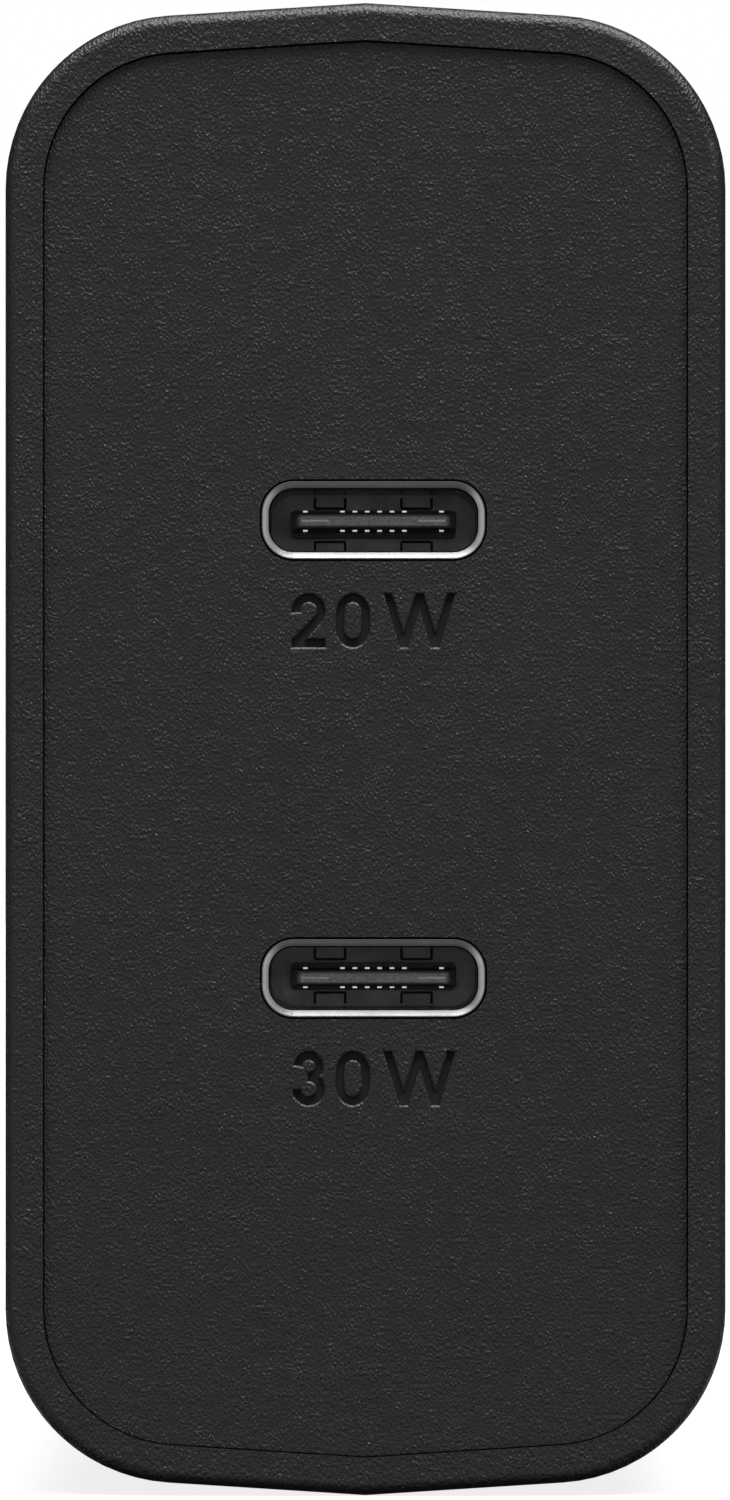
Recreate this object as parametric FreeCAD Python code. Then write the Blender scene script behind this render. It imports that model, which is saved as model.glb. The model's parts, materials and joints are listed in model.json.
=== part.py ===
"""USB wall charger: a slab-shaped casing with two USB-C ports in a recessed front panel, and a pair of
mains blades that fold flush into its rear cover.

Millimetres. +Z is up, +Y points at the wall outlet, and the ports face -Y. The origin is the centre of
the rear face, which is the face that meets the outlet.
"""
import FreeCAD
import Part
import math
import os

V = FreeCAD.Vector
X_AXIS = V(1, 0, 0)
Y_AXIS = V(0, 1, 0)
Z_AXIS = V(0, 0, 1)

# ---- Casing ----------------------------------------------------------------------------------------
WIDTH = 29.0                # across the side faces
HEIGHT = 60.1               # from ridge to ridge
DEPTH = 55.0                # from the front rim to the rear face
CORNER_R = 7.0
ROOF_SLOPE = math.radians(3.63)   # top and bottom are shallow roofs with a ridge along the middle
RIM_WIDTH = 1.52            # front rim round the panel
RECESS = 0.35               # panel behind the rim
PANEL_THICK = 1.9
PANEL_GAP = 0.03            # between the panel and the rim
PANEL_ROUND = 0.04          # edge of the panel
WALL = 2.1                  # casing wall behind the panel
COVER_BAND = 4.0            # visible depth of the rear cover
COVER_THICK = 2.4
SPIGOT_LENGTH = 3.5         # of the rear cover, inside the sleeve
SPIGOT_WALL = 1.05
FIT_GAP = 0.05              # between pieces that are pushed together
FRONT_ROUND = 0.5           # outer edge of the front rim
REAR_ROUND = 1.2
SEAM_ROUND = 0.12           # both sides of the parting line
POST_X = 9.4                # posts behind the panel that carry the USB board
POST_Z = 17.6
POST_R = 1.5
POST_PIN_R = 0.7            # the pin on each post that goes through the board
POST_PIN_OUT = 0.5          # and how far it stands out behind it

FRONT_Y = -DEPTH
PANEL_Y = FRONT_Y + RECESS
LEDGE_Y = PANEL_Y + PANEL_THICK
SPLIT_Y = -COVER_BAND       # parting line between the sleeve and the rear cover

# ---- USB-C ports -----------------------------------------------------------------------------------
PORT_X = 0.32               # both ports stand a little right of the middle
PORT_Z = 9.22               # above and below the middle
PORT_HEIGHTS = {"upper": PORT_Z, "lower": -PORT_Z}
CUTOUT_GAP = 0.09           # between a shell and the panel
SHELL_W = 8.98
SHELL_H = 3.12
SHELL_WALL = 0.32
SHELL_CORNER_R = 1.28
SHELL_LENGTH = 9.2
MOUTH_LAND = 0.03           # flat edge round a shell's mouth
MOUTH_STEPS = ((0.26, 0.09), (SHELL_WALL, 0.26))   # the funnel inside it: width from outside, depth
LEG_X = 2.6                 # a shell's board legs, from the port's middle
LEG_W = 1.0
LEG_LENGTH = 1.6
CAVITY_DEPTH = 6.2
TONGUE_W = 6.69
TONGUE_T = 0.70
TONGUE_TIP = 0.8            # tip behind the shell's mouth
NOSE_W = 6.0                # tip of the tongue, which widens to its full size over NOSE_LENGTH
NOSE_T = 0.52
NOSE_LENGTH = 0.35
NOSE_BEVEL = 0.06
STEP_DEPTH = 4.7            # where the tongue thickens into its root
STEP_W = 6.72
STEP_T = 1.12
STEP_CORNER_R = 0.2
CONTACT_X = (-2.75, -1.25, -0.75, -0.25, 0.25, 0.75, 1.25, 2.75)
CONTACT_W = 0.18
CONTACT_T = 0.15
CONTACT_PROUD = 0.07        # of the tongue's face
CONTACT_START = 1.3         # behind the shell's mouth
CONTACT_TAIL_T = 0.08
MID_PLATE_T = 0.08
MID_PLATE_BARE = (1.2, 0.1)   # where it shows at the nose: from here to here inside the nose's side
LATCH_BACK = 2.0            # the latch notches behind the tongue's tip
GROUND_T = 0.2
TAB_X = 1.77                # spring tabs of the ground plate, from the port's middle
TAB_HALF_W = 0.62
GROOVE_W = 0.11             # slot round each tab
GROOVE_DEPTH = 0.9          # down into the block behind the plate
DIMPLE_R = 0.17

# ---- Lettering -------------------------------------------------------------------------------------
TEXT_DEPTH = 0.38
TEXT_DRAFT = 0.03           # how far each wall of a letter leans out
TEXT_BEVEL = 0.07           # bevel along the letters' edges, across the panel
TEXT_BEVEL_DEPTH = 0.04
CAP_HEIGHT = 2.09           # this and the widths below are those of the letters' floors
STROKE = 0.26
TEXT_DROP = 4.05            # middle of the text below the middle of its port
DIGIT_W = 1.29
W_WIDTH = 2.80
W_TOP = 0.26                # width of a stroke of the W along its top and bottom edges
W_LEAN = 0.64               # how far each of its strokes runs sideways
DIGIT_GAP = 0.49
W_GAP = 0.64

# ---- Folding blades --------------------------------------------------------------------------------
PIVOT_Y = -3.6
PIVOT_Z = 10.3
BLADE_PITCH = 12.7
BLADE_T = 1.5
BLADE_W = 6.35
BLADE_OUT = 17.0            # beyond the rear face when open
BLADE_HOLE_R = 1.55
BLADE_HOLE_FROM_TIP = 5.2
TIP_ROUND = 1.0             # corners of a blade's tip
TIP_BEVEL = 0.4             # lead-in on the two broad faces
TIP_BEVEL_LONG = 0.9
TAIL_R = 5.0                # contact end of each blade, from the axis
TAIL_HALF = 0.95
BARREL_R = 3.0
BARREL_HALF = 8.0           # half its length, without the journals
JOURNAL_R = 1.5
JOURNAL_END = 10.6
JOURNAL_PLAY = 0.05
CAM_HALF_W = 2.4            # half the width of the square cam in the middle of the barrel
CAM_FLAT = 2.65             # from the axis to a flat
SLOT_GAP = 0.2              # round each folded blade
SLOT_DEPTH = 7.0
WELL_WALL = 1.0             # round each blade slot, inside the cover
BEARING_Y = -6.8            # inner face of the bearing blocks and bosses
BEARING_HALF_Z = 3.0
SCREW_Z = (PIVOT_Z + 6.9, PIVOT_Z - 6.9)
SCREW_BOSS_R = 2.1
SCREW_CORE_R = 0.8
SCREW_BITE = 3.8            # of each screw in its boss
SCREW_HEAD_R = 1.9
SCREW_HEAD_T = 1.2
SCOOP_R = 8.6
SCOOP_Y = 5.2               # centre of the scoop's curve, outside the rear face
SCOOP_Z = -11.6
SCOOP_HALF = 9.4
SCOOP_ROUND = 2.2
SCOOP_WALL = 1.3
BRACKET_T = 1.4             # the retainer
BRACKET_Y = BEARING_Y - BRACKET_T
LEAF_T = 0.25
LEAF_Y = PIVOT_Y - CAM_FLAT - 0.02   # face of the leaf spring that rests on the cam
LEAF_HALF_Z = 4.6
SPRING_T = 0.3
SPRING_HALF_W = 1.5
SPRING_FACE_Y = PIVOT_Y - TAIL_R - 0.03
SPRING_TOP_Z = PIVOT_Z + 9.0
TAB_LENGTH = 2.6            # the tab of each contact spring that its lead is joined to

# ---- Boards ----------------------------------------------------------------------------------------
USB_BOARD_Y = PANEL_Y + SHELL_LENGTH
USB_BOARD_T = 1.2
USB_BOARD_BACK = USB_BOARD_Y + USB_BOARD_T
USB_BOARD_HALF_X = 11.3
USB_BOARD_HALF_Z = 20.0
MAIN_X = -10.9              # solder side of the main board
MAIN_T = 1.6
MAIN_FRONT = -42.0
MAIN_REAR = -11.5
MAIN_HALF_Z = 24.6
TOP = MAIN_X + MAIN_T       # component side of the main board
LINK_HALF = 0.32            # half the side of a square link pin
LINK_X = TOP + LINK_HALF
LINK_Z = [n * 2.54 for n in (-2.5, -1.5, -0.5, 0.5, 1.5, 2.5)]
LEAD_WIRE_R = 0.3           # wire ends of capacitors and discs

# ---- Transformer -----------------------------------------------------------------------------------
TRANSFORMER_Y = -27.5
TRANSFORMER_Z = -3.0
CORE_MID_X = -0.3
CORE_HALF_X = 7.4
CORE_HALF_Z = 6.6
CORE_PLATE_T = 2.6
LEG_INNER = 8.7             # side legs of the core, from the transformer's middle
LEG_OUTER = 10.2
CENTRE_LEG_R = 3.8
BOBBIN_INNER_R = CENTRE_LEG_R + 0.1
BOBBIN_OUTER_R = BOBBIN_INNER_R + 0.7
FLANGE_T = 0.7
WINDOW_HALF = CORE_HALF_X - CORE_PLATE_T - FIT_GAP
WINDING_R = 8.1
TAPE_R = 8.4
RAIL_X = TOP + 0.4
PIN_R = 0.35
PIN_PITCH = 3.2

# ---- Other parts on the main board -----------------------------------------------------------------
BULK_R = 5.0
BULK_HEIGHT = 19.6
BULK_PLACES = ((-35.9, 13.2), (-25.4, 13.2))
OUTPUT_R = 4.0
OUTPUT_HEIGHT = 11.5
OUTPUT_PLACES = ((-36.6, -19.3), (-28.0, -19.3), (-19.4, -19.3))
BARRIER = (-37.0, -17.6, -14.6, -13.4)       # isolation slot through the board: Y from, to, Z from, to
RECTIFIER = (-41.0, -27.0, 19.3, 22.6)       # the same for the parts that stand on the board
RECTIFIER_HEIGHT = 11.8
RECTIFIER_LEG_PITCH = 3.75
FILM_BOX = (-26.2, -13.4, 19.1, 24.0)
FILM_BOX_HEIGHT = 11.5
FUSE_Y = -14.0
FUSE_Z = (-6.0, 4.0)
FUSE_HEIGHT = 2.3           # its axis above the board
FUSE_R = 1.7
FUSE_CAP_R = 1.95
FUSE_CAP_LENGTH = 2.2
SPREADER_X = 11.5           # inner face of the heat spreader
SPREADER_T = 0.5
SPREADER_FRONT = -40.5
SPREADER_HALF_Z = 21.0
SHEET_X = -12.35            # outer face of the insulation sheet
SHEET_T = 0.2
SHEET_HALF_Z = 22.0
CHOKE_X = TOP + 6.0
CHOKE_Y = -15.6
CHOKE_Z = 12.9
CHOKE_R = 4.7
CHOKE_HOLE_R = 2.4
CHOKE_HALF_T = 1.9
CHOKE_WIRE = 0.35
CHOKE_TURNS = 7
CHOKE_TURN_ANGLE = 19.0

# ---- Mains leads -----------------------------------------------------------------------------------
WIRE_R = 0.7
WIRE_CORE_R = 0.35
WIRE_BEND_R = 1.4
LEAD_START_Y = BRACKET_Y - TAB_LENGTH + 0.4
LEAD_PAD_Y = -12.6
LINE_PAD_Z = 7.0
LEAD_Z = SPRING_TOP_Z - SPRING_T - WIRE_R    # under the tabs of the contact springs


# ---- Shared shapes ---------------------------------------------------------------------------------
def box(x0, x1, y0, y1, z0, z1):
    """A block between two corners."""
    return Part.makeBox(x1 - x0, y1 - y0, z1 - z0, V(x0, y0, z0))


def block(cx, cy, cz, dx, dy, dz):
    """A block from its middle and its three sizes."""
    return box(cx - dx / 2, cx + dx / 2, cy - dy / 2, cy + dy / 2, cz - dz / 2, cz + dz / 2)


def rod(radius, start, axis, length):
    """A round bar."""
    return Part.makeCylinder(radius, length, V(*start), axis)


def tube(outer, inner, start, axis, length):
    """A round bar with a hole along it."""
    return rod(outer, start, axis, length).cut(rod(inner, start, axis, length))


def rounded_edges(shape, radius, picks):
    """The shape with its edges rounded where picks(edge) holds."""
    return shape.makeFillet(radius, [e for e in shape.Edges if picks(e)])


def all_at(edge, axis, value, tolerance=1e-3):
    """Whether the whole edge lies in the plane axis = value."""
    box_ = edge.BoundBox
    low, high = {"x": (box_.XMin, box_.XMax), "y": (box_.YMin, box_.YMax), "z": (box_.ZMin, box_.ZMax)}[axis]
    return abs(low - value) < tolerance and abs(high - value) < tolerance


def slab(wire, y0, y1):
    """A solid between two depths from an outline drawn at Y = 0."""
    face = Part.Face(wire)
    face.translate(V(0, y0, 0))
    return face.extrude(V(0, y1 - y0, 0))


def polygon(points):
    """A closed outline in the XZ plane from (x, z) points."""
    corners = [V(x, 0, z) for x, z in points]
    return Part.makePolygon(corners + corners[:1])


def extruded_x(points, x0, x1):
    """A bar along X whose section is a closed outline of (y, z) points."""
    corners = [V(x0, y, z) for y, z in points]
    return Part.Face(Part.makePolygon(corners + corners[:1])).extrude(V(x1 - x0, 0, 0))


def casing_outline(inset):
    """The casing's outline, moved in by inset: flat sides, round corners, and a ridge top and bottom."""
    half = WIDTH / 2 - inset
    ridge = HEIGHT / 2 - inset / math.cos(ROOF_SLOPE)
    radius = CORNER_R - inset
    cx = WIDTH / 2 - CORNER_R
    cz = HEIGHT / 2 - cx * math.tan(ROOF_SLOPE) - CORNER_R / math.cos(ROOF_SLOPE)
    roof = (cx + radius * math.sin(ROOF_SLOPE), cz + radius * math.cos(ROOF_SLOPE))
    middle_angle = (math.pi / 2 - ROOF_SLOPE) / 2
    middle = (cx + radius * math.cos(middle_angle), cz + radius * math.sin(middle_angle))
    side = (half, cz)

    def corner(sx, sz):
        points = [V(sx * x, 0, sz * z) for x, z in (roof, middle, side)]
        return points if sx == sz else points[::-1]

    edges = []
    turns = [corner(1, 1), corner(1, -1), corner(-1, -1), corner(-1, 1)]
    ridges = {0: V(0, 0, -ridge), 2: V(0, 0, ridge)}
    for n, turn in enumerate(turns):
        following = turns[(n + 1) % 4]
        edges.append(Part.Arc(*turn).toShape())
        if n % 2 == 0:
            edges.append(Part.makeLine(turn[2], following[0]))
        else:
            tip = ridges[n - 1]
            edges.append(Part.makeLine(turn[2], tip))
            edges.append(Part.makeLine(tip, following[0]))
    return Part.Wire(Part.__sortEdges__(edges))


def rounded_slot(width, height, radius, x=0.0, z=0.0):
    """A rounded rectangle in the XZ plane, its longer side along X."""
    half_w, half_h = width / 2 - radius, height / 2 - radius
    lean = radius * math.sqrt(0.5)
    edges = []
    spots = []
    for sx, sz in ((1, 1), (1, -1), (-1, -1), (-1, 1)):
        centre = V(x + sx * half_w, 0, z + sz * half_h)
        upright = centre + V(0, 0, sz * radius)
        sideways = centre + V(sx * radius, 0, 0)
        ends = (upright, sideways) if sx == sz else (sideways, upright)
        edges.append(Part.Arc(ends[0], centre + V(sx * lean, 0, sz * lean), ends[1]).toShape())
        spots.append(ends)
    for n in range(4):
        start, end = spots[n][1], spots[(n + 1) % 4][0]
        if start.distanceToPoint(end) > 1e-6:
            edges.append(Part.makeLine(start, end))
    return Part.Wire(Part.__sortEdges__(edges))


def oblong(width, height, x, z):
    """A plain rectangle in the XZ plane."""
    return polygon([(x - width / 2, z - height / 2), (x + width / 2, z - height / 2),
                    (x + width / 2, z + height / 2), (x - width / 2, z + height / 2)])


def tapered(wire_front, y_front, wire_back, y_back):
    """A solid that runs between two outlines at two depths."""
    front = wire_front.copy()
    back = wire_back.copy()
    front.translate(V(0, y_front, 0))
    back.translate(V(0, y_back, 0))
    return Part.makeLoft([front, back], True, True)


# ---- Lettering -------------------------------------------------------------------------------------
def ring_sector(cx, cz, outer, from_deg, to_deg):
    """The face of part of a ring one stroke wide, between two angles in the XZ plane."""
    inner = outer - STROKE

    def at(radius, degrees):
        turn = math.radians(degrees)
        return V(cx + radius * math.cos(turn), 0, cz + radius * math.sin(turn))

    middle = (from_deg + to_deg) / 2
    wire = Part.Wire([
        Part.Arc(at(outer, from_deg), at(outer, middle), at(outer, to_deg)).toShape(),
        Part.makeLine(at(outer, to_deg), at(inner, to_deg)),
        Part.Arc(at(inner, to_deg), at(inner, middle), at(inner, from_deg)).toShape(),
        Part.makeLine(at(inner, from_deg), at(outer, from_deg)),
    ])
    return Part.Face(wire)


def joined_face(faces):
    """One face from overlapping flat faces."""
    whole = faces[0].multiFuse(faces[1:]).removeSplitter()
    return whole.Faces[0]


def oval(width, height, cap):
    """A closed outline with upright sides and a half-ellipse, cap high, at each end."""
    half_w, shoulder = width / 2, height / 2 - cap
    edges = []
    for end in (1, -1):
        ellipse = Part.Ellipse(V(0, 0, end * (shoulder + cap)), V(end * half_w, 0, end * shoulder),
                               V(0, 0, end * shoulder))
        far, near = V(-half_w, 0, end * shoulder), V(half_w, 0, end * shoulder)
        turns = sorted((ellipse.parameter(far), ellipse.parameter(near)))
        arc = ellipse.toShape(turns[0], turns[1])
        if (arc.valueAt((turns[0] + turns[1]) / 2).z - end * shoulder) * end < 0:
            arc = ellipse.toShape(turns[1], turns[0] + 2 * math.pi)
        edges.append(arc)
    for side in (1, -1):
        edges.append(Part.makeLine(V(side * half_w, 0, -shoulder), V(side * half_w, 0, shoulder)))
    return Part.Wire(Part.__sortEdges__(edges))


def grown(face):
    """A letter with no island: its outline for any amount of growth."""
    wire = face.OuterWire
    return [lambda grow: wire.makeOffset2D(grow, 2) if grow else wire]


def digit_zero():
    """The outline of the zero and that of its island, each for any amount of growth."""
    cap = 0.38 * CAP_HEIGHT
    inner_cap = 0.22 * CAP_HEIGHT
    hole_w, hole_h = DIGIT_W - 2 * STROKE, CAP_HEIGHT - 2 * STROKE
    return [lambda grow: oval(DIGIT_W + 2 * grow, CAP_HEIGHT + 2 * grow, cap + grow),
            lambda grow: oval(hole_w + 2 * grow, hole_h + 2 * grow, inner_cap + grow)]


def digit_two():
    half_w, half_h = DIGIT_W / 2, CAP_HEIGHT / 2
    cz = half_h - half_w
    bowl = ring_sector(0, cz, half_w, -42, 184)
    leave = math.radians(-42)
    outer_end = (half_w * math.cos(leave), cz + half_w * math.sin(leave))
    inner = half_w - STROKE
    inner_end = (inner * math.cos(leave), cz + inner * math.sin(leave))
    stem = Part.Face(polygon([
        outer_end, inner_end, (-half_w, -half_h + STROKE * 0.9), (-half_w, -half_h),
        (-half_w + STROKE, -half_h)]))
    foot = Part.Face(polygon([
        (-half_w, -half_h), (half_w, -half_h), (half_w, -half_h + STROKE), (-half_w, -half_h + STROKE)]))
    return grown(joined_face([bowl, stem, foot]))


def digit_three():
    half_h = CAP_HEIGHT / 2
    lower_r = DIGIT_W / 2 - 0.03
    upper_r = CAP_HEIGHT / 2 + STROKE / 2 - lower_r
    upper = ring_sector(0, half_h - upper_r, upper_r, -90, 172)
    lower = ring_sector(0, -half_h + lower_r, lower_r, -172, 90)
    return grown(joined_face([upper, lower]))


def letter_w():
    """A W whose middle peak is as high as its sides, with flat ends all round."""
    half_w, half_h = W_WIDTH / 2, CAP_HEIGHT / 2
    foot = half_w - W_LEAN - W_TOP       # inner corner of each foot
    valley = half_h - CAP_HEIGHT * (half_w - 1.5 * W_TOP) / (2 * W_LEAN)
    peak = -half_h + CAP_HEIGHT * foot / W_LEAN
    right = [
        (W_TOP / 2, half_h), (half_w / 2 - W_TOP / 4, valley), (half_w - W_TOP, half_h), (half_w, half_h),
        (foot + W_TOP, -half_h), (foot, -half_h), (0.0, peak)]
    left = [(-x, z) for x, z in reversed(right[:-1])]
    return grown(Part.Face(polygon(right + left)))


def sunk(outlines, x, z):
    """The cutter for a letter: upright walls that lean out a little, then a bevel to the panel's surface."""
    body = flared(outlines[0], 1)
    for island in outlines[1:]:
        body = body.cut(flared(island, -1))
    body.translate(V(x, 0, z))
    return body


def flared(outline, side):
    """The hollow inside one outline of a letter; side is -1 for the island inside a zero."""
    floor = outline(0)
    neck = outline(side * TEXT_DRAFT)
    mouth = outline(side * (TEXT_DRAFT + TEXT_BEVEL))
    neck_y = PANEL_Y + TEXT_BEVEL_DEPTH
    return tapered(mouth, PANEL_Y, neck, neck_y).fuse(tapered(neck, neck_y, floor, PANEL_Y + TEXT_DEPTH))


def power_marking(first_digit, port_z):
    """Cutters for the power in watts under a port, such as 20W."""
    total = 2 * DIGIT_W + DIGIT_GAP + W_GAP + W_WIDTH
    left = PORT_X - total / 2
    z = port_z - TEXT_DROP
    return [
        sunk(first_digit(), left + DIGIT_W / 2, z),
        sunk(digit_zero(), left + 1.5 * DIGIT_W + DIGIT_GAP, z),
        sunk(letter_w(), left + 2 * DIGIT_W + DIGIT_GAP + W_GAP + W_WIDTH / 2, z),
    ]


# ---- Casing pieces ---------------------------------------------------------------------------------
def housing_sleeve():
    """The tube that wraps the charger. Its front edge is the rim, and a ledge inside carries the panel."""
    sleeve = slab(casing_outline(0), FRONT_Y, SPLIT_Y)
    sleeve = sleeve.cut(slab(casing_outline(RIM_WIDTH), FRONT_Y, LEDGE_Y))
    sleeve = sleeve.cut(slab(casing_outline(WALL), LEDGE_Y, SPLIT_Y))
    sleeve = rounded_edges(sleeve, FRONT_ROUND, lambda e: all_at(e, "y", FRONT_Y) and on_outside(e))
    return rounded_edges(sleeve, SEAM_ROUND, lambda e: all_at(e, "y", SPLIT_Y) and on_outside(e))


def on_outside(edge):
    """Whether an edge lies on the casing's outer surface and not on an inner outline."""
    middle = edge.valueAt((edge.FirstParameter + edge.LastParameter) / 2)
    inner = Part.Face(casing_outline(WALL / 2))
    return not inner.isInside(V(middle.x, 0, middle.z), 1e-6, True)


def front_panel():
    """The recessed plate with the port openings, the power markings and four posts for the USB board."""
    inset = RIM_WIDTH + PANEL_GAP
    panel = slab(casing_outline(inset), PANEL_Y, LEDGE_Y)
    panel = rounded_edges(panel, PANEL_ROUND, lambda e: all_at(e, "y", PANEL_Y))
    grow = 2 * CUTOUT_GAP
    for z in PORT_HEIGHTS.values():
        opening = rounded_slot(SHELL_W + grow, SHELL_H + grow, SHELL_CORNER_R + CUTOUT_GAP, PORT_X, z)
        panel = panel.cut(slab(opening, PANEL_Y, LEDGE_Y))
    markings = power_marking(digit_two, PORT_Z) + power_marking(digit_three, -PORT_Z)
    panel = panel.cut(markings)
    posts = []
    for sx in (-1, 1):
        for sz in (-1, 1):
            start = (sx * POST_X, LEDGE_Y, sz * POST_Z)
            posts.append(rod(POST_R, start, Y_AXIS, USB_BOARD_Y - LEDGE_Y))
            posts.append(rod(POST_PIN_R, start, Y_AXIS, USB_BOARD_BACK + POST_PIN_OUT - LEDGE_Y))
    return panel.multiFuse(posts).removeSplitter()


def slot_centres():
    return (-BLADE_PITCH / 2, BLADE_PITCH / 2)


def slot_end_z():
    """Lowest point of the slots that the folded blades lie in."""
    return PIVOT_Z + PIVOT_Y - BLADE_OUT - 0.5


def rear_cover():
    """The plug end of the casing, with a window for the barrel, two blade wells and a finger scoop."""
    half_slot = BLADE_T / 2 + SLOT_GAP
    cover = slab(casing_outline(0), SPLIT_Y, 0)
    cover = cover.cut(slab(casing_outline(WALL), SPLIT_Y, -COVER_THICK))
    cover = rounded_edges(cover, REAR_ROUND, lambda e: all_at(e, "y", 0))
    cover = rounded_edges(cover, SEAM_ROUND, lambda e: all_at(e, "y", SPLIT_Y) and on_outside(e))
    spigot_y = SPLIT_Y - SPIGOT_LENGTH
    spigot = slab(casing_outline(WALL + FIT_GAP), spigot_y, -COVER_THICK)
    spigot = spigot.cut(slab(casing_outline(WALL + FIT_GAP + SPIGOT_WALL), spigot_y, -COVER_THICK))
    added = [spigot]
    well_top = PIVOT_Z - BARREL_R - SLOT_GAP
    for x in slot_centres():
        reach = half_slot + WELL_WALL
        added.append(box(x - reach, x + reach, -SLOT_DEPTH - WELL_WALL, -COVER_THICK,
                         slot_end_z() - WELL_WALL, well_top))
    for side in (-1, 1):
        near, far = sorted((side * (BARREL_HALF + 0.3), side * JOURNAL_END + side * 0.3))
        added.append(box(near, far, BEARING_Y, -COVER_THICK,
                         PIVOT_Z - BEARING_HALF_Z, PIVOT_Z + BEARING_HALF_Z))
    for z in SCREW_Z:
        added.append(rod(SCREW_BOSS_R, (0, BEARING_Y, z), Y_AXIS, -COVER_THICK - BEARING_Y))
    added.append(scoop_shell())
    cover = cover.multiFuse(added).removeSplitter()

    removed = [box(-BARREL_HALF - 0.25, BARREL_HALF + 0.25, -COVER_THICK, 0,
                   PIVOT_Z - BARREL_R - SLOT_GAP, PIVOT_Z + BARREL_R + SLOT_GAP)]
    for x in slot_centres():
        removed.append(box(x - half_slot, x + half_slot, -SLOT_DEPTH, 0, slot_end_z(), PIVOT_Z))
        removed.append(box(x - half_slot, x + half_slot, -COVER_THICK, 0, PIVOT_Z,
                           PIVOT_Z + BLADE_W / 2 + SLOT_GAP))
    bearing_r = JOURNAL_R + JOURNAL_PLAY
    for side in (-1, 1):
        start = min(side * (BARREL_HALF + 0.2), side * (JOURNAL_END + 0.1))
        length = JOURNAL_END - BARREL_HALF - 0.1
        removed.append(rod(bearing_r, (start, PIVOT_Y, PIVOT_Z), X_AXIS, length))
        removed.append(box(start, start + length, BEARING_Y, PIVOT_Y,
                           PIVOT_Z - bearing_r, PIVOT_Z + bearing_r))
    for z in SCREW_Z:
        removed.append(rod(SCREW_CORE_R, (0, BEARING_Y, z), Y_AXIS, SCREW_BITE + 0.2))
    removed.append(finger_scoop(SCOOP_R))
    return cover.cut(removed)


def finger_scoop(radius, widen=0.0):
    """The round hollow at the blades' tips, where a fingertip gets under them."""
    half = SCOOP_HALF + widen
    scoop = rod(radius, (-half, SCOOP_Y, SCOOP_Z), X_AXIS, 2 * half)
    corners = [e for e in scoop.Edges if e.BoundBox.XLength < 1e-6]
    return scoop.makeFillet(SCOOP_ROUND, corners)


def scoop_shell():
    """The wall behind the scoop, on the inside of the rear cover."""
    lump = finger_scoop(SCOOP_R + SCOOP_WALL, SCOOP_WALL)
    reach = SCOOP_R + 2 * SCOOP_WALL
    return lump.common(box(-reach, reach, -reach, -COVER_THICK + 0.01, SCOOP_Z - reach, SCOOP_Z + reach))


# ---- Folding plug ----------------------------------------------------------------------------------
def blade_profile(x):
    """One blade, folded: hanging down from the barrel, with its contact tail above the axis."""
    tip_z = PIVOT_Z + PIVOT_Y - BLADE_OUT
    half = BLADE_W / 2
    left, right = x - BLADE_T / 2, x + BLADE_T / 2
    strip = box(left, right, PIVOT_Y - half, PIVOT_Y + half, tip_z, PIVOT_Z)
    strip = rounded_edges(strip, TIP_ROUND, lambda e: all_at(e, "z", tip_z) and e.BoundBox.XLength > 1)
    bevelled = polygon([
        (left, PIVOT_Z), (left, tip_z + TIP_BEVEL_LONG), (left + TIP_BEVEL, tip_z),
        (right - TIP_BEVEL, tip_z), (right, tip_z + TIP_BEVEL_LONG), (right, PIVOT_Z)])
    strip = strip.common(slab(bevelled, PIVOT_Y - half, PIVOT_Y + half))
    barrel_part = rod(BARREL_R - 0.4, (left, PIVOT_Y, PIVOT_Z), X_AXIS, BLADE_T)
    tail = box(left, right, PIVOT_Y - TAIL_HALF, PIVOT_Y + TAIL_HALF, PIVOT_Z, PIVOT_Z + TAIL_R + 1)
    tail = tail.common(rod(TAIL_R, (left, PIVOT_Y, PIVOT_Z), X_AXIS, BLADE_T))
    hole = rod(BLADE_HOLE_R, (x - BLADE_T, PIVOT_Y, tip_z + BLADE_HOLE_FROM_TIP), X_AXIS, 2 * BLADE_T)
    return strip.multiFuse([barrel_part, tail]).removeSplitter().cut(hole)


def prong_barrel():
    """The moulded shaft that carries both blades, with a square cam in its middle and a journal each end."""
    shaft = rod(BARREL_R, (-BARREL_HALF, PIVOT_Y, PIVOT_Z), X_AXIS, 2 * BARREL_HALF)
    shaft = shaft.makeChamfer(0.3, [e for e in shaft.Edges if e.BoundBox.XLength < 1e-6])
    waist = box(-CAM_HALF_W - 0.2, CAM_HALF_W + 0.2, PIVOT_Y - 4, PIVOT_Y + 4, PIVOT_Z - 4, PIVOT_Z + 4)
    cam = block(0, PIVOT_Y, PIVOT_Z, 2 * CAM_HALF_W + 0.4, 2 * CAM_FLAT, 2 * CAM_FLAT)
    shaft = shaft.cut(waist.cut(cam))
    journals = rod(JOURNAL_R, (-JOURNAL_END, PIVOT_Y, PIVOT_Z), X_AXIS, 2 * JOURNAL_END)
    shaft = shaft.fuse(journals).removeSplitter()
    for x in slot_centres():
        shaft = shaft.cut(blade_profile(x))
    return shaft


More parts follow.
